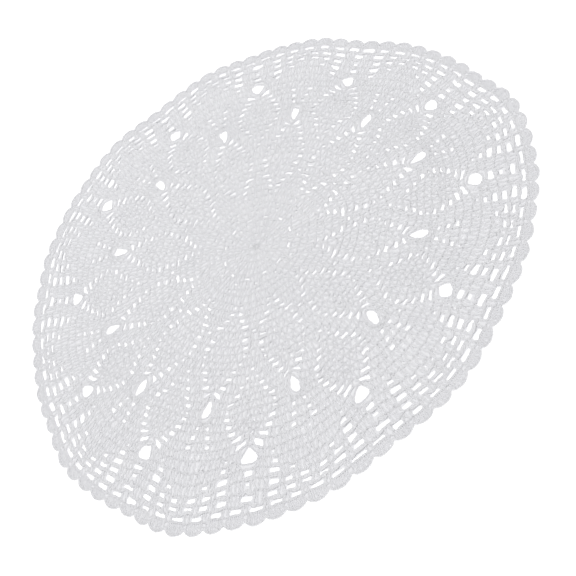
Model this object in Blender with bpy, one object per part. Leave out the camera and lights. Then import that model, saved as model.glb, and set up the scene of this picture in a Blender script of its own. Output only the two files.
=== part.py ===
"""A round lace doily in pineapple crochet, lying flat.

Twelve repeats surround a rosette at the centre. Each repeat has one pineapple of the inner ring, half of
the two outer pineapples beside it, a fan of long stitches above it and seven scallops of the edging. The
inner pineapple of repeat 0 points along +X, and the outer pineapples point half a repeat further round.

The cloth is one sheet with its underside on z = 0 and the rosette's centre on the origin. Distances along
the pattern are in millimetres on an even doily, and uneven() then gives each place the lean and the reach
that it has on this one. Angles are in degrees, anticlockwise from above.
"""

import math

import bpy

MM = 0.001

THICKNESS = 2.0 * MM
RADIUS = 200.0
REPEATS = 12
REPEAT_TURN = 360 / REPEATS

INNER_TIP = 124.3  # from the centre to the middle of the hole at an inner pineapple's tip
OUTER_TIP = 158.5  # the same for an outer pineapple

SCALLOPS_PER_REPEAT = 7
SCALLOP_TURN = REPEAT_TURN / SCALLOPS_PER_REPEAT
SCALLOP_TOP = RADIUS + 1.2
SCALLOP_NOTCH = RADIUS - 2.6
SCALLOP_STEPS = (0, 0.14, 0.36, 0.64, 0.86)  # the points of one scallop, from notch to notch

# What each repeat measures on this doily, which was pinned out by hand. Columns: the lean of the inner tip
# and its distance, the lean of the outer tip that follows it and its distance, and then the lean and the
# distance of the edge beyond the inner tip and beyond the outer one.
MEASURED = (
    (-1.5, 123, -0.5, 151, 0.5, 193.5, 1.0, 189.5),
    (0.0, 122, 0.5, 158, 1.5, 196, 0.5, 197.5),
    (-0.5, 123, -1.0, 159, -0.5, 203, -1.5, 200.5),
    (-1.0, 126, -2.5, 164, -3.0, 207.5, -4.0, 205),
    (-1.5, 125, -1.0, 156, -4.0, 202, -3.5, 196.5),
    (1.5, 124, 1.5, 158, -1.5, 193.5, 0.0, 195),
    (1.0, 127, 0.5, 163, 1.5, 202.5, 1.5, 203),
    (-0.5, 126, -0.5, 161, 0.0, 209, -1.0, 205),
    (-0.5, 121, -1.0, 155, -2.0, 202, -1.0, 196.5),
    (1.0, 119, 0.0, 155, -1.0, 199, -0.5, 196),
    (1.5, 125, 0.5, 162, 0.0, 198.5, 0.0, 202),
    (0.5, 131, -0.5, 159, 0.5, 204, 0.0, 196),
)

# The gaps of one repeat that are wide enough to be cut through, on the repeat's axis or mirrored about it.
# Columns: the turn from the inner pineapple's axis, the distance from the centre, the width along the round,
# the height across it, and the slope, which is positive where the end away from the axis lies further out.
SLITS = (
    (2.0, 115.4, 7.6, 3.2, 38),  # the inner pineapple's last two steps below its tip
    (3.7, 108.7, 6.4, 3.4, 22),
    (11.0, 146.4, 8.2, 3.2, -14),  # the outer pineapple's last two steps below its tip
    (12.6, 152.1, 8.4, 3.4, -20),
    (15.0, 168.6, 7.4, 3.2, 0),  # between two fans, above an outer tip
    (15.0, 184.0, 11.0, 4.2, 0),
    (8.9, 171.2, 9.0, 4.6, 0),  # the net at a fan's side, from the inside outwards
    (9.0, 178.0, 7.8, 3.0, 0),
    (9.3, 184.2, 9.8, 3.4, 0),
)
SLIT_CORNER = 0.66  # how far out a slit's four corners lie, as a share of half its width

# The row of gaps below the scallops, one under each.
EDGE_GAP_AT = 190.9
EDGE_GAP_WIDTH = 9.4
EDGE_GAP_HEIGHT = 3.8

# The drop-shaped hole at a pineapple's tip, as steps out from its middle and the half width there.
INNER_HOLE = ((-7.2, 0.0), (-3.4, 2.3), (1.2, 3.9), (4.6, 3.2), (6.8, 0.0))
OUTER_HOLE = ((-6.0, 0.0), (-2.4, 3.2), (1.4, 5.8), (4.4, 4.4), (5.6, 0.0))

THREAD_COLOUR = (0.73, 0.73, 0.745, 1)
THREAD_ROUGHNESS = 0.85


def eased(values, position):
    """The value at a position on a closed row of values, passing smoothly from each to the next."""
    before = math.floor(position)
    share = position - before
    share = share * share * (3 - 2 * share)
    low, high = values[before % len(values)], values[(before + 1) % len(values)]
    return low + (high - low) * share


def woven(first, second):
    """Two columns as one row that takes turns between them."""
    return [value for pair in zip(first, second) for value in pair]


def uneven(distance, turn):
    """The point of this doily, in metres, for a distance and a turn on an even one."""
    in_lean, in_reach, out_lean, out_reach, lean_a, edge_a, lean_b, edge_b = zip(*MEASURED)
    place = turn / REPEAT_TURN
    # Each stop: a distance on an even doily, and the lean and the reach that this one has there.
    centre = (0, 0, 0)
    inner = (INNER_TIP, eased(in_lean, place), eased(in_reach, place))
    outer = (OUTER_TIP, eased(out_lean, place - 0.5), eased(out_reach, place - 0.5))
    edge = (RADIUS, eased(woven(lean_a, lean_b), 2 * place), eased(woven(edge_a, edge_b), 2 * place))
    if distance <= INNER_TIP:
        low, high = centre, inner
    elif distance <= OUTER_TIP:
        low, high = inner, outer
    else:
        low, high = outer, edge
    share = (distance - low[0]) / (high[0] - low[0])
    lean = low[1] + (high[1] - low[1]) * share
    reach = (low[2] + (high[2] - low[2]) * share) * MM
    angle = math.radians(turn + lean)
    return reach * math.cos(angle), reach * math.sin(angle)


def around(distance, turn, offsets):
    """Points given as steps along the round and outwards from a place on it, in millimetres."""
    return [
        uneven(distance + out, turn + math.degrees(along / distance))
        for along, out in offsets
    ]


def slit(turn, distance, width, height, slope):
    """A six-sided gap with pointed ends."""
    tip, corner, side = width / 2, width / 2 * SLIT_CORNER, height / 2
    corners = (
        (-tip, 0), (-corner, -side), (corner, -side),
        (tip, 0), (corner, side), (-corner, side),
    )
    rise = math.tan(math.radians(slope))
    return around(distance, turn, [(along, out + along * rise) for along, out in corners])


def tip_hole(turn, distance, half):
    """The hole at a pineapple's tip, mirrored about the pineapple's axis."""
    right = [(wide, out) for out, wide in half]
    left = [(-wide, out) for out, wide in reversed(half) if wide]
    return around(distance, turn, right + left)


def gaps_of_repeat(axis):
    gaps = [
        tip_hole(axis, INNER_TIP, INNER_HOLE),
        tip_hole(axis + REPEAT_TURN / 2, OUTER_TIP, OUTER_HOLE),
    ]
    for turn, distance, width, height, slope in SLITS:
        gaps.append(slit(axis + turn, distance, width, height, slope))
        if turn < REPEAT_TURN / 2:
            gaps.append(slit(axis - turn, distance, width, height, -slope))
    for step in range(SCALLOPS_PER_REPEAT):
        turn = axis + step * SCALLOP_TURN
        gaps.append(slit(turn, EDGE_GAP_AT, EDGE_GAP_WIDTH, EDGE_GAP_HEIGHT, 0))
    return gaps


def scalloped_edge():
    """The outline, with a notch before each scallop; the first scallop lies on the +X axis."""
    outline = []
    for number in range(REPEATS * SCALLOPS_PER_REPEAT):
        for step in SCALLOP_STEPS:
            bulge = math.sin(math.pi * step) ** 0.6
            distance = SCALLOP_NOTCH + (SCALLOP_TOP - SCALLOP_NOTCH) * bulge
            outline.append(uneven(distance, (number - 0.5 + step) * SCALLOP_TURN))
    return outline


def thread_material():
    material = bpy.data.materials.new("cotton_thread")
    material.use_nodes = True
    shader = material.node_tree.nodes["Principled BSDF"]
    shader.inputs["Base Color"].default_value = THREAD_COLOUR
    shader.inputs["Roughness"].default_value = THREAD_ROUGHNESS
    shader.inputs["Metallic"].default_value = 0
    return material


def add_loop(curve, points):
    spline = curve.splines.new("POLY")
    spline.points.add(len(points) - 1)
    for spline_point, (x, y) in zip(spline.points, points):
        spline_point.co = (x, y, 0, 1)
    spline.use_cyclic_u = True


def build_doily(collection):
    curve = bpy.data.curves.new("doily", "CURVE")
    curve.dimensions = "2D"
    curve.fill_mode = "BOTH"
    curve.extrude = THICKNESS / 2
    add_loop(curve, scalloped_edge())
    for repeat in range(REPEATS):
        for gap in gaps_of_repeat(repeat * REPEAT_TURN):
            add_loop(curve, gap)
    curve.materials.append(thread_material())
    doily = bpy.data.objects.new("doily", curve)
    doily.location = (0, 0, THICKNESS / 2)
    collection.objects.link(doily)


def main():
    for old in list(bpy.data.objects):
        bpy.data.objects.remove(old)
    collection = bpy.data.collections.new("lace_doily")
    bpy.context.scene.collection.children.link(collection)
    build_doily(collection)


main()
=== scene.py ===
"""The looks of the lace doily: every round of its crochet, laid out from a chart and worked in thread.

The part's solid is one flat sheet, and the crochet here replaces it. Distances along the pattern are in
millimetres on an even doily, turns are in degrees from the axis of an inner pineapple, and uneven() gives
each place the lean and the reach that it has on this one.
"""

import math

import bmesh
import bpy
import numpy as np
from mathutils import Matrix, Vector
from mathutils.geometry import delaunay_2d_cdt


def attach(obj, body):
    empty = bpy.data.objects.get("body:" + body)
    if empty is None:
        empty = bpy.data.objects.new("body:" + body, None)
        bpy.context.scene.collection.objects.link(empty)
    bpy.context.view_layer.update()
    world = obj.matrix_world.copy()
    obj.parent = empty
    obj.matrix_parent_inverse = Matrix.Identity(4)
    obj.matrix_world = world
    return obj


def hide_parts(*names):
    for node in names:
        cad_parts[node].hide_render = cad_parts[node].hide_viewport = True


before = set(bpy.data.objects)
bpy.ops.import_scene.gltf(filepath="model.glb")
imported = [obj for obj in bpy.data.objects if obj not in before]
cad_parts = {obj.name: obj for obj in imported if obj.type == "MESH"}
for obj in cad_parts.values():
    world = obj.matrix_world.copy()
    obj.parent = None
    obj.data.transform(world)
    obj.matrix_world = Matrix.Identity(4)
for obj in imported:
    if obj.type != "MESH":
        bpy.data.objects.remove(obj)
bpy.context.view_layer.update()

MM = 0.001

REPEATS = 12
REPEAT_TURN = 360 / REPEATS
HALF_TURN = REPEAT_TURN / 2
RADIUS = 200.0
INNER_TIP = 124.3  # from the centre to the middle of the hole at an inner pineapple's tip
OUTER_TIP = 158.5  # the same for an outer pineapple

SCALLOPS_PER_REPEAT = 7
SCALLOP_TURN = REPEAT_TURN / SCALLOPS_PER_REPEAT
SCALLOP_TOP = RADIUS + 1.2
SCALLOP_NOTCH = RADIUS - 2.6

# The doily as it was pinned out by hand, a row for each repeat. Columns: the lean of the inner tip and its
# distance, the lean of the outer tip that follows it and its distance, and then the lean and the distance
# of the edge beyond the inner tip and beyond the outer one.
MEASURED = (
    (-1.5, 123, -0.5, 151, 0.5, 193.5, 1.0, 189.5),
    (0.0, 122, 0.5, 158, 1.5, 196, 0.5, 197.5),
    (-0.5, 123, -1.0, 159, -0.5, 203, -1.5, 200.5),
    (-1.0, 126, -2.5, 164, -3.0, 207.5, -4.0, 205),
    (-1.5, 125, -1.0, 156, -4.0, 202, -3.5, 196.5),
    (1.5, 124, 1.5, 158, -1.5, 193.5, 0.0, 195),
    (1.0, 127, 0.5, 163, 1.5, 202.5, 1.5, 203),
    (-0.5, 126, -0.5, 161, 0.0, 209, -1.0, 205),
    (-0.5, 121, -1.0, 155, -2.0, 202, -1.0, 196.5),
    (1.0, 119, 0.0, 155, -1.0, 199, -0.5, 196),
    (1.5, 125, 0.5, 162, 0.0, 198.5, 0.0, 202),
    (0.5, 131, -0.5, 159, 0.5, 204, 0.0, 196),
)

ROSETTE_SHIFT = (1.0, -0.1)  # the rosette's centre, which was pinned a little off the middle

# The chart, a row for each round from the centre outwards. Columns: how far the middle of the round lies
# from the centre at turns of 0, 5, 10 and 15 degrees, and its gaps, each as its turn, width and height. The
# chart is mirrored about the inner pineapple's axis at 0 and the outer pineapple's axis at 15.
ROUNDS = (
    ((4.5, 4.5, 4.5, 4.5), ()),
    ((10, 10, 10, 10), ()),
    ((15.5, 15.5, 15.5, 15.5), ()),
    ((21, 21, 21, 21), ()),
    ((26.3, 26.2, 26.2, 26.3), ((0, 2.9, 1),)),
    ((31.6, 31.6, 31.5, 31.5), ((15, 1, 0.5),)),
    ((37.2, 37.2, 37.2, 37.2), ((11.2, 0.8, 0.5),)),
    ((43, 42.9, 42.9, 43), ()),
    ((48.8, 48.8, 48.8, 48.8), ((2.9, 1, 0.6),)),
    ((54.2, 54.4, 54.4, 54.4), ((3.6, 2.5, 1.1),)),
    ((59.8, 59.8, 59.9, 60), ((5.7, 3, 1.3),)),
    ((65.4, 65.3, 65.2, 65.2), ((8.8, 5, 1.2),)),
    ((70.6, 70.4, 70, 69.6), ((9.6, 1, 0.6), (15, 2, 1.2))),
    ((76.2, 75.8, 74.8, 74.6), ((9.8, 3.1, 0.7),)),
    ((81.6, 81.6, 81.5, 81.2), ((10.8, 2.7, 0.8),)),
    ((87.4, 87.6, 87.7, 87.6), ((10.4, 1.2, 0.7),)),
    ((92.4, 92.8, 92.9, 93.4), ((9.2, 1.3, 0.8),)),
    ((97.2, 97.8, 98.4, 99.2), ((6.8, 2.9, 1.2), (15, 1.5, 1.1))),
    ((101.6, 102.8, 104.4, 105.6), ((5.3, 3.4, 1.2), (13, 1.1, 0.7))),
    ((106.6, 109.4, 111, 111.2), ((3.6, 3.6, 1.2), (11.2, 2.7, 1.4))),
    ((112.2, 117, 116.6, 115.4), ((2, 4, 1.7), (9.8, 3, 1.5))),
    ((119.6, 121.9, 121.2, 120.2), ((7.9, 3.3, 1.6),)),
    ((126.2, 127, 126.2, 125.4), ((7.2, 1, 0.6),)),
    ((131, 131.6, 131.2, 130.2), ((7.4, 3.3, 1),)),
    ((135.9, 136.2, 136.5, 134.8), ((1.7, 1.5, 1.2), (8.4, 3.8, 1.3))),
    ((142.6, 142.5, 141.4, 138.6), ((2.3, 2.2, 1.4), (9.6, 3.9, 1.3))),
    ((148.8, 148.6, 147, 142.6), ((2.9, 3, 1.2), (11.2, 5.3, 1.5))),
    ((154.2, 153.8, 153.2, 148.2), ((1, 0.8, 0.4), (12.6, 6.1, 2.4))),
    ((161.6, 160.2, 158.4, 156), ((9, 1, 0.5),)),
    ((168.6, 167.2, 164.4, 162.6), ((8.6, 3.4, 1.1),)),
    ((175.4, 173.6, 170.6, 168.5), ((4.6, 3.3, 1.2), (8.8, 6.8, 2.7), (15, 5.6, 2.5))),
    ((181.2, 179.9, 177.4, 175.5), ((2.1, 4.8, 1.2), (5.6, 4.9, 1.1), (9, 5.9, 1.7), (15, 3, 1))),
    ((185.8, 185.2, 184.4, 183.9), ((1.8, 5.9, 0.8), (5.3, 5.9, 1.2), (9.4, 7.2, 1.9), (15, 8.2, 2.3))),
    ((191.2, 191.2, 191, 190.8), ((0, 7.3, 1.5), (4.286, 7.5, 1.6), (8.571, 7.8, 2), (12.857, 7.9, 2.1))),
)
CENTRE_RING = 2.0
SHELL_FOOT = 193.6  # where the scallops' shells stand on the last round

# The rounds, counted from 0, in which a pineapple's own net lies between its two rows of gaps.
INNER_NET = range(8, 21)
OUTER_NET = range(18, 28)

# Sizes of the stitches, in millimetres. A tall stitch stands in a round, and a link of chain lies along it.
POST_PITCH = 2.75
POST_LENGTH = 5.5
POST_STRAND = 0.72
POST_SWING = (0.66, 0.2)
POST_TURNS = 1.0
POST_STEPS = 5
LINK_PITCH = 2.9
LINK_LEG = ((0.14, -0.2, -0.06), (0.42, 0.2, 0.14), (0.42, 0.76, 0.18), (0.18, 1.12, -0.02))
LINK_RADII = (0.5, 0.62, 0.62, 0.48)
STRAND_SIDES = 4
NET_LEAN = 1.0
CLOSE_LEAN = 0.45
SHELL_POSTS = 8

# No two gaps are alike. The spreads are standard deviations from the chart's widths and heights.
GAP_SPREAD_WIDE = 0.12
GAP_SPREAD_HIGH = 0.22
GAP_SPREAD_RISE = 0.22
GAP_SPREAD_SKEW = 0.4
GAP_SPREAD_TAPER = 0.18

# Pinholes show between stitches that stand a little apart, more often in a pineapple's net than elsewhere.
PINHOLE_STEP = 5.6
PINHOLE_WIDE = (0.15, 0.32)
PINHOLE_HIGH = (0.35, 0.8)
PINHOLES_IN_NET = 0.25
PINHOLES_ELSEWHERE = 0.06
PINHOLE_ROUNDS = range(3, 33)

CHAIN_WIDTH = 0.9  # of a link beside a gap, as a share of its own width
TIGHT_WIDTH = 0.84  # of a link in close work, where it lies lower, under the heads of the tall stitches
TIGHT_DROP = 0.32
ROSETTE = range(-1, 9)  # the rounds of the rosette, where the chain shows more
ROSETTE_WIDTH = 0.88
OVERLAP = 0.25  # how far the tall stitches of close work reach over the chain at either end
HOLE_CHAIN_WIDTH = 0.78
HOLE_CORNER = 0.12  # how far the corners of a tip's hole stand out at most, as a share of its size
HOLE_SKEW = 0.22

HAND = 0.40  # how far a stitch's ends stray from their places in the round, as a standard deviation
HAND_AT_GAP = 0.3  # the share of it that is left beside a gap
CHAIN_CLEAR = 1.03  # from a gap's edge to the middle of the chain above or below it
POST_CLEAR = 0.26  # from a gap's edge to where the tall stitches beside it begin
GROUND_CLEAR = 0.45  # from a gap's edge to the cut in the ground
GROUND_EDGE = 0.12  # from the middle of a chain to the nearest cut

# The drop-shaped holes at the tips: half the width, half the height, and how much the hole widens outwards.
INNER_HOLE = (3.8, 7.2, 0.30)
OUTER_HOLE = (5.8, 5.7, 0.42)
HOLES = (
    (INNER_TIP - 0.9, 0, INNER_HOLE),
    (OUTER_TIP - 0.9, HALF_TURN, OUTER_HOLE),
)
HOLE_REACH = 1.55  # how far round a hole the stitches are pushed together, as a share of its size
HOLE_CUT = 0.34  # stitches nearer its middle than this are left out
HOLE_CORNER_LEAST = 0.03
WIDENING_REACH = 1.3  # how far out from its middle a hole goes on widening, as a share of half its height

# The seeds of the random draws. Each round and each hole adds its own number.
GAP_SEED = 5
POST_SEED = 100
LINE_SEED = 200
HOLE_SEED = 300

# The limits of the random draws for gaps and pinholes.
GAP_WIDTH_LIMITS = (0.5, 1.5)
GAP_HEIGHT_LIMITS = (0.2, 2.0)
GAP_HEIGHT_SHIFT = -0.05
PINHOLE_STRAY = 0.3
PINHOLE_RISE = 0.8
PINHOLE_SKEW = 1.2
PINHOLE_CLEAR = 0.9  # from a charted gap, as a share of the tall stitches' pitch

# How a gap bends the chain: in full beside it, fading over a short way past its ends.
GAP_SHOULDER = 0.6
GAP_BEARING = 1.35
GAP_FADE = 0.6
CHAIN_BETWEEN_GAPS = (0.88, 1.5)  # the least and the most width of chain with a gap on both sides

SHORTEST_STRETCH = 0.9  # work shorter than this between two gaps holds no tall stitch
POST_WIDEST = 1.15
NET_WIDTH = 0.88
LONGEST_LINK = 1.9  # as a share of a link's pitch
POST_START = 0.6  # radians of twist at a tall stitch's foot

# The scallops: where the shells' heads and feet lie within each, and their chain.
SCALLOP_BULGE = 0.6
SHELL_HEADS_SPAN = 0.98
SHELL_FEET_SPAN = 0.72
SHELL_SUNK = 0.3
SHELL_INSET = 0.8
SHELL_WIDTH = 0.86
RIM_LINKS = 6
RIM_INSET = 0.85


def eased(values, position):
    """Values on a closed row, passing smoothly from each to the next."""
    before = np.floor(position).astype(int)
    share = position - before
    share = share * share * (3 - 2 * share)
    values = np.asarray(values, float)
    low, high = values[before % len(values)], values[(before + 1) % len(values)]
    return low + (high - low) * share


def woven(first, second):
    """Two columns as one row that takes turns between them."""
    return [value for pair in zip(first, second) for value in pair]


def uneven(distance, turn):
    """The points of this doily, in metres, for distances and turns on an even one."""
    distance, turn = np.broadcast_arrays(np.asarray(distance, float), np.asarray(turn, float))
    in_lean, in_reach, out_lean, out_reach, lean_a, edge_a, lean_b, edge_b = zip(*MEASURED)
    place = turn / REPEAT_TURN
    stops = (0, INNER_TIP, OUTER_TIP, RADIUS)
    leans = (
        np.zeros_like(turn),
        eased(in_lean, place),
        eased(out_lean, place - 0.5),
        eased(woven(lean_a, lean_b), 2 * place),
    )
    reaches = (
        np.zeros_like(turn),
        eased(in_reach, place),
        eased(out_reach, place - 0.5),
        eased(woven(edge_a, edge_b), 2 * place),
    )
    span = np.clip(np.searchsorted(stops, distance) - 1, 0, len(stops) - 2)
    low, high = np.take(stops, span), np.take(stops, span + 1)
    share = (distance - low) / (high - low)
    lean = np.choose(span, leans[:-1]) * (1 - share) + np.choose(span, leans[1:]) * share
    reach = np.choose(span, reaches[:-1]) * (1 - share) + np.choose(span, reaches[1:]) * share
    angle = np.radians(turn + lean)
    shift = np.clip(1 - distance / INNER_TIP, 0, 1)
    x = reach * np.cos(angle) + ROSETTE_SHIFT[0] * shift
    y = reach * np.sin(angle) + ROSETTE_SHIFT[1] * shift
    return np.stack([x, y], axis=-1) * MM


def nearness(distance, turn, middle, axis, hole):
    """How near places lie to a tip's hole, which is 1 at its edge, and the steps along and out from it."""
    half_width, half_height, widening = hole
    across = (turn - axis + HALF_TURN) % REPEAT_TURN - HALF_TURN
    along = np.radians(across) * distance
    out = distance - middle
    wide = half_width * (1 + widening * np.clip(out / half_height, -WIDENING_REACH, WIDENING_REACH))
    return np.hypot(along / wide, out / half_height), along, out


def opened(distance, turn):
    """Places moved aside from the holes at the tips, and which of them are kept."""
    distance, turn = np.broadcast_arrays(np.asarray(distance, float), np.asarray(turn, float))
    distance, turn = distance.copy(), turn.copy()
    kept = np.ones(distance.shape, bool)
    for middle, axis, hole in HOLES:
        near, along, out = nearness(distance, turn, middle, axis, hole)
        inside = near < HOLE_REACH
        kept &= near > HOLE_CUT
        moved = (1 + near * (HOLE_REACH - 1) / HOLE_REACH) / np.maximum(near, 0.01)
        factor = np.where(inside, moved, 1)
        new_distance = middle + out * factor
        turn += np.degrees(along * factor / new_distance - along / distance)
        distance = new_distance
    return distance, turn, kept


def folded(turn):
    """A turn brought onto the half repeat that the chart gives, 0 to 15 degrees."""
    return np.abs((np.asarray(turn, float) + HALF_TURN) % REPEAT_TURN - HALF_TURN)


def middle_of(number, turn):
    """How far the middle of a round lies from the centre, on a smooth line through the chart's values."""
    at_0, at_5, at_10, at_15 = ROUNDS[number][0]
    knots = np.array([at_5, at_0, at_5, at_10, at_15, at_10])
    steps = folded(turn) / 5
    before = np.minimum(steps.astype(int), 2)
    t = steps - before
    a, b, c, d = (knots[before + k] for k in range(4))
    return 0.5 * (2 * b + (c - a) * t + (2 * a - 5 * b + 4 * c - d) * t**2 + (3 * b - a - 3 * c + d) * t**3)


def line_after(number, turn):
    """The line of chain between a round and the next one."""
    if number < 0:
        return np.full_like(np.asarray(turn, float), CENTRE_RING)
    if number == len(ROUNDS) - 1:
        return np.full_like(np.asarray(turn, float), SHELL_FOOT)
    return (middle_of(number, turn) + middle_of(number + 1, turn)) / 2


def in_net(number, turn):
    """Which turns of a round lie in a pineapple's own net, between its two rows of gaps."""
    charted = [gap[0] for gap in ROUNDS[number][1]]
    at = folded(turn)
    inside = np.zeros(at.shape, bool)
    if number in INNER_NET:
        inside |= at < min(charted)
    if number in OUTER_NET:
        inside |= at > max(charted)
    return inside


def pinholes(number, rows, random):
    """The pinholes of one round, clear of its charted gaps, with the same columns."""
    radius = float(middle_of(number, HALF_TURN / 2))
    count = round(2 * math.pi * radius / PINHOLE_STEP)
    place = np.arange(count) + number % 2 / 2
    turn = (place + random.uniform(-PINHOLE_STRAY, PINHOLE_STRAY, count)) * (360 / count) % 360
    chance = np.where(in_net(number, turn), PINHOLES_IN_NET, PINHOLES_ELSEWHERE)
    wanted = random.uniform(0, 1, count) < chance
    half_wide = random.uniform(*PINHOLE_WIDE, count)
    half_high = random.uniform(*PINHOLE_HIGH, count)
    rise = random.uniform(-PINHOLE_RISE, PINHOLE_RISE, count)
    skew = random.uniform(-PINHOLE_SKEW, PINHOLE_SKEW, count)
    for at, wide in ((row[0], row[1]) for row in rows):
        away = np.radians(np.abs((turn - at + 180) % 360 - 180)) * radius
        wanted &= away > wide + half_wide + POST_PITCH * PINHOLE_CLEAR
    made = np.column_stack([turn, half_wide, half_high, rise, skew, np.zeros(count)])
    return made[wanted]


def worked_gaps():
    """Every gap of the doily, a table for each round with a row for each gap, in order of turn.

    Columns: turn, half the width, half the height, how far it lies out from the middle of its round, how
    far its far side leans along the round, and how much higher it is at its end than at its start.
    """
    random = np.random.default_rng(GAP_SEED)
    table = []
    for number, (_, chart) in enumerate(ROUNDS):
        turns = {}
        for turn, width, height in chart:
            for axis in range(0, 360, round(REPEAT_TURN)):
                for side in (turn, -turn):
                    turns[round((axis + side) % 360, 3)] = (width, height)
        rows = []
        for turn in sorted(turns):
            width, height = turns[turn]
            half_wide = width / 2 * np.clip(random.normal(1, GAP_SPREAD_WIDE), *GAP_WIDTH_LIMITS)
            factor = random.lognormal(GAP_HEIGHT_SHIFT, GAP_SPREAD_HIGH)
            half_high = height / 2 * np.clip(factor, *GAP_HEIGHT_LIMITS)
            rise = np.clip(random.normal(0, GAP_SPREAD_RISE), -0.8, 0.8)
            skew = np.clip(random.normal(0, GAP_SPREAD_SKEW), -1.8, 1.8)
            taper = np.clip(random.normal(0, GAP_SPREAD_TAPER), -0.6, 0.6)
            rows.append((turn, half_wide, half_high, rise, skew, taper))
        rows = np.array(rows).reshape(-1, 6)
        if number in PINHOLE_ROUNDS:
            rows = np.concatenate([rows, pinholes(number, rows, random)])
            rows = rows[np.argsort(rows[:, 0])]
        table.append(rows)
    return table


def beside_gaps(gaps, number, turn, side):
    """How strongly the gaps of a round bear on places at these turns, and where the edge of each gap lies.

    side is 1 for the gaps' far edges and -1 for their near ones.
    """
    turn = np.asarray(turn, float)
    bearing, edge = np.zeros(turn.shape), np.zeros(turn.shape)
    if not 0 <= number < len(ROUNDS) or not len(gaps[number]):
        return bearing, edge
    for at, half_wide, half_high, rise, _, taper in gaps[number]:
        away = (turn - at + 180) % 360 - 180
        x = np.radians(away) * float(middle_of(number, at)) / (half_wide + GAP_SHOULDER)
        near = np.clip((GAP_BEARING - np.abs(x)) / GAP_FADE, 0, 1)
        near = near * near * (3 - 2 * near)
        level = middle_of(number, turn) + rise + side * half_high * (1 + taper * np.clip(x, -1, 1))
        edge = np.where(near > bearing, level, edge)
        bearing = np.maximum(bearing, near)
    return bearing, edge


def chain_line(gaps, number, turn):
    """Where the chain after a round runs, pushed aside by the gaps on both sides, and how wide it is worked."""
    base = line_after(number, turn)
    below, low_edge = beside_gaps(gaps, number, turn, 1)
    above, high_edge = beside_gaps(gaps, number + 1, turn, -1)
    pull = below * (low_edge + CHAIN_CLEAR - base) + above * (high_edge - CHAIN_CLEAR - base)
    both = np.maximum(below + above, 1)
    room = np.clip((high_edge - low_edge) / (2 * CHAIN_CLEAR), *CHAIN_BETWEEN_GAPS)
    closed = ROSETTE_WIDTH if number in ROSETTE else TIGHT_WIDTH
    tight = closed + (CHAIN_WIDTH - closed) * np.maximum(below, above)
    wide = np.where(np.minimum(below, above) > 0.5, room, tight)
    return base + pull / both, wide


def tightness(wide):
    """How close the work is around chain of this width, from 0 beside a gap to 1."""
    return np.clip((CHAIN_WIDTH - wide) / (CHAIN_WIDTH - TIGHT_WIDTH), 0, 1)


def strayed(random, wide):
    """How far stitches stray from their places in the round, less so beside a gap."""
    return random.normal(0, HAND, len(wide)) * (HAND_AT_GAP + (1 - HAND_AT_GAP) * tightness(wide))


def posts_of(gaps, number):
    """The tall stitches of one round: foot and head as (distance, turn), and the width of each."""
    rows = gaps[number]
    if len(rows):
        radius = middle_of(number, rows[:, 0])
        turn, half, skew = rows[:, 0], rows[:, 1] + POST_CLEAR, rows[:, 4] / 2
        narrow, wide = np.degrees((half - skew) / radius), np.degrees((half + skew) / radius)
        first = np.column_stack([turn + narrow, turn + wide])
        last = np.column_stack([turn - wide, turn - narrow])
        last = np.roll(last, -1, axis=0)
        last[-1] += 360
    else:
        first, last = np.array([[0.0, 0.0]]), np.array([[360.0, 360.0]])
    feet, heads, widths = [], [], []
    for (foot_from, head_from), (foot_to, head_to) in zip(first, last):
        middle = (foot_from + foot_to + head_from + head_to) / 4
        middle_radius = float(middle_of(number, middle))
        around = math.radians((foot_to - foot_from + head_to - head_from) / 2) * middle_radius
        if around < SHORTEST_STRETCH:
            continue
        count = max(1, round(around / POST_PITCH))
        net = bool(in_net(number, middle))
        share = (np.arange(count) + 0.5) / count
        sway = math.degrees((NET_LEAN if net else CLOSE_LEAN) / middle_radius)
        sway = sway * np.where(np.arange(count) % 2, 1, -1)
        feet.append(foot_from + (foot_to - foot_from) * share - sway)
        heads.append(head_from + (head_to - head_from) * share + sway)
        width = min(POST_WIDEST, around / count / POST_PITCH)
        widths.append(np.full(count, width * (NET_WIDTH if net else 1)))
    feet, heads, widths = (np.concatenate(part) for part in (feet, heads, widths))
    low, low_wide = chain_line(gaps, number - 1, feet)
    high, high_wide = chain_line(gaps, number, heads)
    random = np.random.default_rng(POST_SEED + number)
    low = low + strayed(random, low_wide) - OVERLAP * tightness(low_wide)
    high = high + strayed(random, high_wide) + OVERLAP * tightness(high_wide)
    return np.column_stack([low, feet]), np.column_stack([high, heads]), widths


def spans_of_posts(gaps, number):
    """Start and end of each tall stitch of a round, in metres, with widths."""
    feet, heads, widths = posts_of(gaps, number)
    foot_distance, foot_turn, foot_kept = opened(*feet.T)
    head_distance, head_turn, head_kept = opened(*heads.T)
    kept = foot_kept & head_kept
    for middle, axis, hole in HOLES:
        between = (foot_distance + head_distance) / 2, (foot_turn + head_turn) / 2
        kept &= nearness(*between, middle, axis, hole)[0] > 1
    return uneven(foot_distance, foot_turn)[kept], uneven(head_distance, head_turn)[kept], widths[kept]


def spans_along(distance, turn, kept, widths):
    """The links of chain along a closed row of places."""
    points = uneven(distance, turn)
    following = np.roll(points, -1, axis=0)
    length = np.linalg.norm(following - points, axis=1)
    fits = kept & np.roll(kept, -1) & (length < LONGEST_LINK * LINK_PITCH * MM)
    return points[fits], following[fits], widths[fits]


def spans_of_line(gaps, number):
    """The links of chain on the line after a round."""
    count = REPEATS * round(2 * math.pi * float(line_after(number, HALF_TURN / 2)) / LINK_PITCH / REPEATS)
    count = max(count, REPEATS)
    turn = (np.arange(count) + 0.5) * (360 / count)
    place, wide = chain_line(gaps, number, turn)
    place = place + strayed(np.random.default_rng(LINE_SEED + number), wide)
    distance, turn, kept = opened(place, turn)
    return spans_along(distance, turn, kept, wide)


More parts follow.
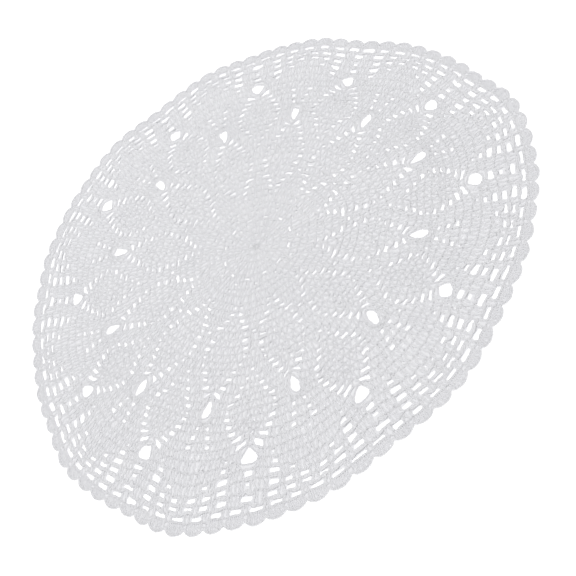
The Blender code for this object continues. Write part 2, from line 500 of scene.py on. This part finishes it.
def spans_of_hole(middle, axis, hole):
    """The links of chain around the hole at a pineapple's tip."""
    half_width, half_height, _ = hole
    count = round(2 * math.pi * math.hypot(half_width, half_height) / math.sqrt(2) / LINK_PITCH)
    points = hole_outline(middle, axis, hole, count)
    return points, np.roll(points, -1, axis=0), np.full(count, HOLE_CHAIN_WIDTH)


def scallop_edge(step, inset=0.0):
    """How far a scallop reaches, for a place from 0 at one notch to 1 at the next."""
    bulge = np.sin(np.pi * np.clip(step, 0, 1)) ** SCALLOP_BULGE
    return SCALLOP_NOTCH + (SCALLOP_TOP - SCALLOP_NOTCH) * bulge - inset


def spans_of_shells(gaps):
    """The tall stitches of the scallops, which fan out from the last round."""
    number = np.arange(REPEATS * SCALLOPS_PER_REPEAT)[:, None]
    place = (np.arange(SHELL_POSTS) + 0.5)[None, :] / SHELL_POSTS
    turn = (number + (place - 0.5) * SHELL_HEADS_SPAN) * SCALLOP_TURN
    foot_turn = (number + (place - 0.5) * SHELL_FEET_SPAN) * SCALLOP_TURN
    foot = chain_line(gaps, len(ROUNDS) - 1, foot_turn.ravel())[0] - SHELL_SUNK
    starts = uneven(foot, foot_turn.ravel())
    ends = uneven(scallop_edge(place + 0 * number, SHELL_INSET), turn).reshape(-1, 2)
    return starts, ends, np.full(len(starts), SHELL_WIDTH)


def spans_of_rim():
    """The links of chain along the scalloped edge."""
    number = np.arange(REPEATS * SCALLOPS_PER_REPEAT)[:, None]
    place = (np.arange(RIM_LINKS) / RIM_LINKS)[None, :] + 0 * number
    turn = ((number + place - 0.5) * SCALLOP_TURN).ravel()
    distance = scallop_edge(place, RIM_INSET).ravel()
    return spans_along(distance, turn, np.ones(len(turn), bool), np.full(len(turn), CHAIN_WIDTH))


def linear(hex_colour):
    """An sRGB colour written in hex, as linear red, green, blue and alpha."""
    parts = [int(hex_colour[i : i + 2], 16) / 255 for i in (1, 3, 5)]
    return [c / 12.92 if c <= 0.04045 else ((c + 0.055) / 1.055) ** 2.4 for c in parts] + [1.0]


def add_node(tree, kind, settings=None, values=None, links=None):
    """A node with its settings, the values of its inputs, and links into them."""
    node = tree.nodes.new(kind)
    for name, value in (settings or {}).items():
        setattr(node, name, value)
    for socket, value in (values or {}).items():
        node.inputs[socket].default_value = value
    for socket, source in (links or {}).items():
        tree.links.new(source, node.inputs[socket])
    return node


# Crochet cotton is spun, plied, singed and mercerised: white, smooth and a little silky, with the slant of
# its plies showing as fine ridges across each strand and a faint warm and cool drift from ball to ball.
COTTON_LIGHT = "#f4f4f6"
COTTON_SHADE = "#eeeef1"
COTTON_ROUGHNESS = 0.7
COTTON_IOR = 1.53
COTTON_GLOSS = 0.3
SHEEN_WEIGHT = 0.15
SHEEN_ROUGHNESS = 0.5
DRIFT_SIZE = 30.0  # mm across one patch of the colour's drift
PLY_PITCH = 0.9  # mm along a strand from one ply to the next; the real 0.5 mm is too fine to show
PLY_SLANT = 2.0  # how many plies a line around the strand crosses
PLY_DEPTH = 0.05
FUZZ_SIZE = 0.8  # mm from one tuft of loose fibre to the next; the real ones are ten times finer
FUZZ_DEPTH = 0.10


def cotton_material():
    material = bpy.data.materials.new("mercerised_crochet_cotton")
    material.use_nodes = True
    tree = material.node_tree
    shader = tree.nodes["Principled BSDF"]
    shader.inputs["Roughness"].default_value = COTTON_ROUGHNESS
    shader.inputs["IOR"].default_value = COTTON_IOR
    shader.inputs["Specular IOR Level"].default_value = COTTON_GLOSS
    shader.inputs["Sheen Weight"].default_value = SHEEN_WEIGHT
    shader.inputs["Sheen Roughness"].default_value = SHEEN_ROUGHNESS
    place = add_node(tree, "ShaderNodeTexCoord")
    drift = add_node(
        tree, "ShaderNodeTexNoise", values={"Scale": 1 / (DRIFT_SIZE * MM), "Detail": 3.0},
        links={"Vector": place.outputs["Object"]},
    )
    colour = add_node(tree, "ShaderNodeMix", {"data_type": "RGBA"}, links={"Factor": drift.outputs["Fac"]})
    colour.inputs["A"].default_value = linear(COTTON_SHADE)
    colour.inputs["B"].default_value = linear(COTTON_LIGHT)
    tree.links.new(colour.outputs["Result"], shader.inputs["Base Color"])

    # The plies: a wave along the strand, which slants because it also runs around it.
    unrolled = add_node(tree, "ShaderNodeUVMap", {"uv_map": "strand"})
    slanted = add_node(
        tree, "ShaderNodeVectorMath", {"operation": "DOT_PRODUCT"},
        {1: (2 * math.pi * PLY_SLANT, 2 * math.pi / PLY_PITCH, 0)}, {0: unrolled.outputs["UV"]},
    )
    ply = add_node(tree, "ShaderNodeMath", {"operation": "SINE"}, links={0: slanted.outputs["Value"]})
    ridges = add_node(
        tree, "ShaderNodeBump", values={"Strength": 1.0, "Distance": PLY_DEPTH * MM},
        links={"Height": ply.outputs["Value"]},
    )
    fuzz = add_node(
        tree, "ShaderNodeTexNoise", values={"Scale": 1 / (FUZZ_SIZE * MM), "Detail": 2.0},
        links={"Vector": place.outputs["Object"]},
    )
    fuzzy = add_node(
        tree, "ShaderNodeBump", values={"Strength": 1.0, "Distance": FUZZ_DEPTH * MM},
        links={"Height": fuzz.outputs["Fac"], "Normal": ridges.outputs["Normal"]},
    )
    tree.links.new(fuzzy.outputs["Normal"], shader.inputs["Normal"])
    return material


def tube(points, radii, sides):
    """Rings of points around a line that runs mostly along +Y, and the faces between them."""
    verts, faces = [], []
    for (x, y, z), radius in zip(points, radii):
        for side in range(sides):
            angle = 2 * math.pi * side / sides
            verts.append((x + radius * math.sin(angle), y, z + radius * math.cos(angle)))
    for ring in range(len(points) - 1):
        for side in range(sides):
            a, b = ring * sides + side, ring * sides + (side + 1) % sides
            faces.append((a, a + sides, b + sides, b))
    faces.append(tuple(range(sides)))
    faces.append(tuple(reversed(range(len(verts) - sides, len(verts)))))
    return verts, faces


def stitch_object(name, strands):
    """One stitch of several strands, lying along +Y from the origin, with each strand unrolled in its UV map."""
    mesh_parts = [tube(points, radii, STRAND_SIDES) for points, radii in strands]
    verts, faces = [], []
    for more_verts, more_faces in mesh_parts:
        faces += [tuple(i + len(verts) for i in face) for face in more_faces]
        verts += more_verts
    mesh = bpy.data.meshes.new(name)
    mesh.from_pydata([Vector(v) * MM for v in verts], [], faces)
    mesh.shade_smooth()
    unrolled = mesh.uv_layers.new(name="strand")
    for face in mesh.polygons:
        ring = [i % STRAND_SIDES for i in face.vertices]
        wraps = max(ring) - min(ring) > 1
        for corner, vertex in zip(face.loop_indices, face.vertices):
            side = vertex % STRAND_SIDES
            side = STRAND_SIDES if wraps and side == 0 else side
            unrolled.data[corner].uv = (side / STRAND_SIDES, verts[vertex][1])
    stitch = bpy.data.objects.new(name, mesh)
    bpy.context.scene.collection.objects.link(stitch)
    return stitch


def tall_stitch():
    """Two strands twisted round each other, as the loops of a treble pull round its core."""
    strands = []
    for side in (0, 1):
        points = []
        for step in range(POST_STEPS + 1):
            share = step / POST_STEPS
            angle = 2 * math.pi * POST_TURNS * share + math.pi * side + POST_START
            points.append((
                POST_SWING[0] * math.cos(angle), POST_LENGTH * share, POST_SWING[1] * math.sin(angle),
            ))
        strands.append((points, [POST_STRAND] * len(points)))
    return stitch_object("tall_stitch", strands)


def chain_link():
    """The two legs of a link, which spread like a V and close over the next link."""
    strands = []
    for side in (-1, 1):
        points = [(side * spread, LINK_PITCH * share, rise) for spread, share, rise in LINK_LEG]
        strands.append((points, LINK_RADII))
    return stitch_object("chain_link", strands)


# The inputs of the geometry nodes that work the crochet: name and kind.
TREE_INPUTS = (
    ("Places", "NodeSocketGeometry"),
    ("Tall stitch", "NodeSocketObject"),
    ("Chain link", "NodeSocketObject"),
    ("Thread", "NodeSocketMaterial"),
    ("Tall stitch length", "NodeSocketFloat"),
    ("Chain link length", "NodeSocketFloat"),
    ("Unevenness", "NodeSocketFloat"),
    ("Seed", "NodeSocketInt"),
)


def crochet_tree():
    """Geometry nodes that lay a tall stitch or a chain link on each point, along the point's own way."""
    tree = bpy.data.node_groups.new("crochet", "GeometryNodeTree")
    for name, kind in TREE_INPUTS:
        tree.interface.new_socket(name=name, socket_type=kind, in_out="INPUT")
    tree.interface.new_socket(name="Crochet", socket_type="NodeSocketGeometry", in_out="OUTPUT")
    given = add_node(tree, "NodeGroupInput").outputs

    named = "GeometryNodeInputNamedAttribute"
    way = add_node(tree, named, {"data_type": "FLOAT_VECTOR"}, {"Name": "way"}).outputs["Attribute"]
    wide = add_node(tree, named, {"data_type": "FLOAT"}, {"Name": "wide"}).outputs["Attribute"]
    tall = add_node(tree, named, {"data_type": "BOOLEAN"}, {"Name": "tall"}).outputs["Attribute"]

    # Each stitch leans, rolls and swells a little, by a random vector between -1 and 1.
    random = add_node(
        tree, "FunctionNodeRandomValue", {"data_type": "FLOAT_VECTOR"},
        {"Min": (-1, -1, -1), "Max": (1, 1, 1)}, {"Seed": given["Seed"]},
    ).outputs["Value"]
    offset = add_node(
        tree, "ShaderNodeVectorMath", {"operation": "SCALE"}, links={0: random, "Scale": given["Unevenness"]}
    ).outputs["Vector"]
    parts = add_node(tree, "ShaderNodeSeparateXYZ", links={0: offset}).outputs
    length = add_node(tree, "ShaderNodeVectorMath", {"operation": "LENGTH"}, links={0: way}).outputs["Value"]

    along = add_node(
        tree, "FunctionNodeAlignRotationToVector", {"axis": "Y", "pivot_axis": "Z"}, links={"Vector": way}
    ).outputs["Rotation"]
    roll = add_node(
        tree, "ShaderNodeMath", {"operation": "MULTIPLY"}, {1: ROLL_OVER_LEAN}, {0: parts[1]}
    ).outputs["Value"]
    wobble = add_node(
        tree, "ShaderNodeCombineXYZ", values={0: 0.0}, links={1: roll, 2: parts[0]}
    ).outputs["Vector"]
    wobble = add_node(tree, "FunctionNodeEulerToRotation", links={0: wobble}).outputs["Rotation"]
    turned = add_node(
        tree, "FunctionNodeRotateRotation", {"rotation_space": "LOCAL"},
        links={"Rotation": along, "Rotate By": wobble},
    ).outputs["Rotation"]

    made_length = add_node(
        tree, "GeometryNodeSwitch", {"input_type": "FLOAT"},
        links={
            "Switch": tall, "False": given["Chain link length"], "True": given["Tall stitch length"],
        },
    ).outputs["Output"]
    stretch = add_node(
        tree, "ShaderNodeMath", {"operation": "DIVIDE"}, links={0: length, 1: made_length}
    ).outputs["Value"]
    swell = add_node(
        tree, "ShaderNodeMath", {"operation": "MULTIPLY_ADD"}, links={0: wide, 1: parts[2], 2: wide}
    ).outputs["Value"]
    scale = add_node(
        tree, "ShaderNodeCombineXYZ", values={2: 1.0}, links={0: swell, 1: stretch}
    ).outputs["Vector"]

    chain = add_node(
        tree, "FunctionNodeBooleanMath", {"operation": "NOT"}, links={0: tall}
    ).outputs["Boolean"]
    join = add_node(tree, "GeometryNodeJoinGeometry")
    for source, chosen in (("Tall stitch", tall), ("Chain link", chain)):
        stitch = add_node(tree, "GeometryNodeObjectInfo", links={"Object": given[source]})
        laid = add_node(
            tree, "GeometryNodeInstanceOnPoints",
            links={
                "Points": given["Places"], "Selection": chosen, "Instance": stitch.outputs["Geometry"],
                "Rotation": turned, "Scale": scale,
            },
        )
        tree.links.new(laid.outputs["Instances"], join.inputs["Geometry"])
    real = add_node(tree, "GeometryNodeRealizeInstances", links={0: join.outputs[0]})
    smooth = add_node(tree, "GeometryNodeSetShadeSmooth", links={0: real.outputs[0]})
    dyed = add_node(
        tree, "GeometryNodeSetMaterial", links={0: smooth.outputs[0], "Material": given["Thread"]}
    )
    add_node(tree, "NodeGroupOutput", links={0: dyed.outputs[0]})
    return tree


def crochet_piece(name, tree, tall_spans, chain_spans, inputs):
    """A piece of crochet as one plain mesh, from the starts and ends of its tall stitches and its links."""
    count = sum(len(starts) for starts, _, _ in tall_spans + chain_spans)
    starts, ends, widths = (np.concatenate(part) for part in zip(*tall_spans, *chain_spans))
    tall = np.zeros(count, bool)
    tall[: sum(len(starts) for starts, _, _ in tall_spans)] = True
    mesh = bpy.data.meshes.new(name)
    mesh.vertices.add(count)
    height = np.where(tall, POST_HEIGHT, LINK_HEIGHT - TIGHT_DROP * tightness(widths)) * MM
    mesh.vertices.foreach_set("co", np.column_stack([starts, height]).ravel())
    way = np.column_stack([ends - starts, np.zeros(count)])
    mesh.attributes.new("way", "FLOAT_VECTOR", "POINT").data.foreach_set("vector", way.ravel())
    mesh.attributes.new("wide", "FLOAT", "POINT").data.foreach_set("value", widths)
    mesh.attributes.new("tall", "BOOLEAN", "POINT").data.foreach_set("value", tall)
    places = bpy.data.objects.new(name, mesh)
    bpy.context.scene.collection.objects.link(places)
    modifier = places.modifiers.new("crochet", "NODES")
    modifier.node_group = tree
    for socket in tree.interface.items_tree:
        if socket.in_out == "INPUT" and socket.name in inputs:
            modifier[socket.identifier] = inputs[socket.name]
    depsgraph = bpy.context.evaluated_depsgraph_get()
    worked = bpy.data.meshes.new_from_object(places.evaluated_get(depsgraph))
    bpy.data.objects.remove(places)
    piece = bpy.data.objects.new(name, worked)
    bpy.context.scene.collection.objects.link(piece)
    return piece


# The pieces of the crochet, from the centre outwards: a name and the rounds that it holds.
ZONES = (
    ("rosette_and_pineapple_feet", range(0, 14)),
    ("inner_pineapples", range(14, 21)),
    ("pineapple_tips", range(21, 26)),
    ("outer_pineapples", range(26, 30)),
    ("fans_and_net", range(30, 34)),
)
HOLE_ZONES = {0: "pineapple_tips", HALF_TURN: "outer_pineapples"}
POST_HEIGHT = 0.92
LINK_HEIGHT = 1.12
UNEVENNESS = 0.08  # how far stitches lean in radians and swell as a share, at most
ROLL_OVER_LEAN = 4.0  # how much further they roll over than they lean


def make_crochet(thread, gaps):
    tree = crochet_tree()
    post, link = tall_stitch(), chain_link()
    inputs = {
        "Tall stitch": post, "Chain link": link, "Thread": thread,
        "Tall stitch length": POST_LENGTH * MM, "Chain link length": LINK_PITCH * MM,
        "Unevenness": UNEVENNESS,
    }
    pieces = []
    for seed, (name, rounds) in enumerate(ZONES):
        lines = [spans_of_line(gaps, number) for number in rounds]
        if 0 in rounds:
            lines.append(spans_of_line(gaps, -1))
        for middle, axis, hole in HOLES:
            if name == HOLE_ZONES[axis]:
                lines += [spans_of_hole(middle, axis + k * REPEAT_TURN, hole) for k in range(REPEATS)]
        posts = [spans_of_posts(gaps, number) for number in rounds]
        pieces.append(crochet_piece(name, tree, posts, lines, {**inputs, "Seed": seed}))
    shells, rim = [spans_of_shells(gaps)], [spans_of_rim()]
    pieces.append(crochet_piece("scallops", tree, shells, rim, {**inputs, "Seed": len(ZONES)}))
    for stitch in (post, link):
        bpy.data.objects.remove(stitch)
    return pieces


GROUND_LOW = 0.45
GROUND_HIGH = 1.05
GROUND_INSET = 0.9
GAP_CORNER = 0.8  # how far out a gap's four corners lie, as a share of half its width
GROUND_CLEAR_SHARE = 0.7
CUT_TOLERANCE = 1e-7
GROUND_STEPS = (0, 0.15, 0.38, 0.62, 0.85)  # the corners along one scallop
HOLE_CORNERS = 12


def hole_outline(middle, axis, hole, count):
    """Points around the hole at a pineapple's tip, in metres."""
    half_width, half_height, widening = hole
    angle = (np.arange(count) + 0.5) * 2 * math.pi / count
    random = np.random.default_rng(round(HOLE_SEED + axis))
    of_three, of_four = random.uniform(HOLE_CORNER_LEAST, HOLE_CORNER, 2)
    start = random.uniform(0, 2 * math.pi, 2)
    reach = 1 + of_three * np.cos(3 * angle + start[0]) + of_four * np.cos(4 * angle + start[1])
    out = -half_height * np.cos(angle) * reach
    along = half_width * (1 + widening * out / half_height) * np.sin(angle) * reach
    along += random.uniform(-HOLE_SKEW, HOLE_SKEW) * out
    return uneven(middle + out, axis + np.degrees(along / (middle + out)))


def gap_outlines(gaps, number):
    """The cuts in the ground for the gaps of a round, in metres, each between the chains on its two sides."""
    turn, half_wide, half_high, rise, skew, taper = gaps[number][:, :, None].swapaxes(0, 1)
    cut = GAP_CORNER
    x, y = np.array(((-cut, -1), (cut, -1), (1, 0), (cut, 1), (-cut, 1), (-1, 0))).T
    clear = np.minimum(GROUND_CLEAR, half_wide * GROUND_CLEAR_SHARE)
    wide, high = half_wide + clear, half_high + clear
    turns = turn + np.degrees((x * wide + y * skew / 2) / middle_of(number, turn))
    distances = middle_of(number, turns) + rise + y * high * (1 + taper * x)
    lowest = chain_line(gaps, number - 1, turns)[0] + GROUND_EDGE
    highest = chain_line(gaps, number, turns)[0] - GROUND_EDGE
    distances, turns, _ = opened(np.clip(distances, lowest, highest), turns)
    return list(uneven(distances, turns))


def inside_loop(loop, places):
    """Which of the places lie inside a closed loop of points."""
    (low_x, low_y), (high_x, high_y) = loop.min(axis=0), loop.max(axis=0)
    x, y = places.T
    inside = np.zeros(len(places), bool)
    near = np.flatnonzero((x > low_x) & (x < high_x) & (y > low_y) & (y < high_y))
    if not len(near):
        return inside
    x, y = x[near, None], y[near, None]
    (x1, y1), (x2, y2) = loop.T, np.roll(loop, -1, axis=0).T
    spans = (y1 > y) != (y2 > y)
    crosses = x < x1 + (x2 - x1) * (y - y1) / np.where(y2 == y1, 1, y2 - y1)
    inside[near] = (spans & crosses).sum(axis=1) % 2 == 1
    return inside


def ground_edge():
    number = np.arange(REPEATS * SCALLOPS_PER_REPEAT)[:, None]
    place = np.array(GROUND_STEPS)[None, :] + 0 * number
    turn = (number + place - 0.5) * SCALLOP_TURN
    return uneven(scallop_edge(place, GROUND_INSET).ravel(), turn.ravel())


def make_ground(thread, gaps):
    """The cloth's own plane, a thin sheet inside the crochet, with every gap of the chart cut through it."""
    loops = [ground_edge()]
    for number in range(len(ROUNDS)):
        if len(gaps[number]):
            loops += gap_outlines(gaps, number)
    for middle, axis, hole in HOLES:
        for repeat in range(REPEATS):
            loops.append(hole_outline(middle, axis + repeat * REPEAT_TURN, hole, HOLE_CORNERS))
    corners = [Vector(point) for loop in loops for point in loop]
    edges = []
    for loop in loops:
        first = len(edges)
        edges += [(first + step, first + (step + 1) % len(loop)) for step in range(len(loop))]
    points, _, triangles, _, _, _ = delaunay_2d_cdt(corners, edges, [], 0, CUT_TOLERANCE)
    places = np.array([point[:] for point in points])
    middles = places[np.array(triangles)].mean(axis=1)
    kept = inside_loop(loops[0], middles)
    for loop in loops[1:]:
        kept &= ~inside_loop(loop, middles)
    sheet = [tuple(triangles[i]) for i in np.flatnonzero(kept)]

    # The triangles make the upper side, their mirror image the lower one, and walls close the shell.
    count = len(points)
    verts = [(x, y, GROUND_HIGH * MM) for x, y in points] + [(x, y, GROUND_LOW * MM) for x, y in points]
    sides = {(a, b) for face in sheet for a, b in zip(face, face[1:] + face[:1])}
    walls = [(a + count, b + count, b, a) for a, b in sorted(sides) if (b, a) not in sides]
    under = [tuple(i + count for i in reversed(face)) for face in sheet]
    mesh = bpy.data.meshes.new("doily_ground")
    mesh.from_pydata(verts, [], sheet + under + walls)
    shell = bmesh.new()
    shell.from_mesh(mesh)
    bmesh.ops.delete(shell, geom=[vert for vert in shell.verts if not vert.link_faces], context="VERTS")
    shell.to_mesh(mesh)
    shell.free()
    mesh.materials.append(thread)
    ground = bpy.data.objects.new("doily_ground", mesh)
    bpy.context.scene.collection.objects.link(ground)
    return ground


# The camera stands where the photograph was taken from, turned so that the doily's far side is at the upper
# left. The sensor's width and the lens are in millimetres.
SENSOR_WIDTH = 36
CAMERA_NEAR = 0.01
CAMERA_TARGET = Vector((-0.0118, -0.0473, 0))
CAMERA_AWAY = 0.6722
CAMERA_RISE = math.radians(47.67)
CAMERA_AROUND = math.radians(-101.56)
CAMERA_ROLL = math.radians(-41.83)
CAMERA_LENS = 62.1


def make_camera():
    back = Vector((
        math.cos(CAMERA_RISE) * math.cos(CAMERA_AROUND),
        math.cos(CAMERA_RISE) * math.sin(CAMERA_AROUND),
        math.sin(CAMERA_RISE),
    ))
    level = Vector((0, 0, 1)).cross(back).normalized()
    steep = back.cross(level)
    right = level * math.cos(CAMERA_ROLL) + steep * math.sin(CAMERA_ROLL)
    up = steep * math.cos(CAMERA_ROLL) - level * math.sin(CAMERA_ROLL)
    data = bpy.data.cameras.new("camera")
    data.lens = CAMERA_LENS
    data.sensor_width = SENSOR_WIDTH
    data.clip_start = CAMERA_NEAR
    camera = bpy.data.objects.new("camera", data)
    camera.matrix_world = Matrix.Translation(CAMERA_TARGET + back * CAMERA_AWAY) @ Matrix(
        (right, up, back)
    ).transposed().to_4x4()
    bpy.context.scene.collection.objects.link(camera)
    bpy.context.scene.camera = camera


FLOOR_SIDE = 6.0
FLOOR_BELOW = 0.1 * MM
FLOOR_COLOUR = "#fafafa"
FLOOR_GLOW = 0.42  # painted light: the paper glows of itself, lifting it to white as a lamp of its own would and washing out the doily's shadows in its holes
FLOOR_ROUGHNESS = 0.9
FLOOR_GLOSS = 0.1


def make_floor():
    half = FLOOR_SIDE / 2
    corners = [(-half, -half), (half, -half), (half, half), (-half, half)]
    mesh = bpy.data.meshes.new("floor")
    mesh.from_pydata([(x, y, -FLOOR_BELOW) for x, y in corners], [], [(0, 1, 2, 3)])
    material = bpy.data.materials.new("self_lit_white_backdrop")
    material.use_nodes = True
    shader = material.node_tree.nodes["Principled BSDF"]
    shader.inputs["Base Color"].default_value = linear(FLOOR_COLOUR)
    shader.inputs["Roughness"].default_value = FLOOR_ROUGHNESS
    shader.inputs["Specular IOR Level"].default_value = FLOOR_GLOSS
    # Painted light: the floor's own glow fills in the shade under and between the stitches.
    shader.inputs["Emission Color"].default_value = linear(FLOOR_COLOUR)
    shader.inputs["Emission Strength"].default_value = FLOOR_GLOW
    mesh.materials.append(material)
    floor = bpy.data.objects.new("floor", mesh)
    bpy.context.scene.collection.objects.link(floor)


SKY_STRENGTH = 0.65
# The lamps: where each stands, its side and its power in watts. All face the middle of the doily.
LAMPS = (
    ("overhead_softbox", (0.3, 0.5, 1.8), 1.6, 12.2),
    ("side_softbox", (-1.6, -0.4, 1.1), 1.2, 3.5),
)


def make_light():
    world = bpy.data.worlds.new("studio")
    bpy.context.scene.world = world
    world.use_nodes = True
    world.node_tree.nodes["Background"].inputs["Color"].default_value = (1, 1, 1, 1)
    world.node_tree.nodes["Background"].inputs["Strength"].default_value = SKY_STRENGTH
    for name, place, side, power in LAMPS:
        data = bpy.data.lights.new(name, "AREA")
        data.size = side
        data.energy = power
        lamp = bpy.data.objects.new(name, data)
        lamp.location = place
        lamp.rotation_euler = Vector(place).to_track_quat("Z", "Y").to_euler()
        bpy.context.scene.collection.objects.link(lamp)
    bpy.context.scene.view_settings.view_transform = "Standard"


def main():
    make_camera()
    thread = cotton_material()
    gaps = worked_gaps()
    ground = make_ground(thread, gaps)
    crochet = make_crochet(thread, gaps)
    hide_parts("doily")
    for piece in [ground] + crochet:
        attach(piece, "root")
    make_floor()
    make_light()


main()
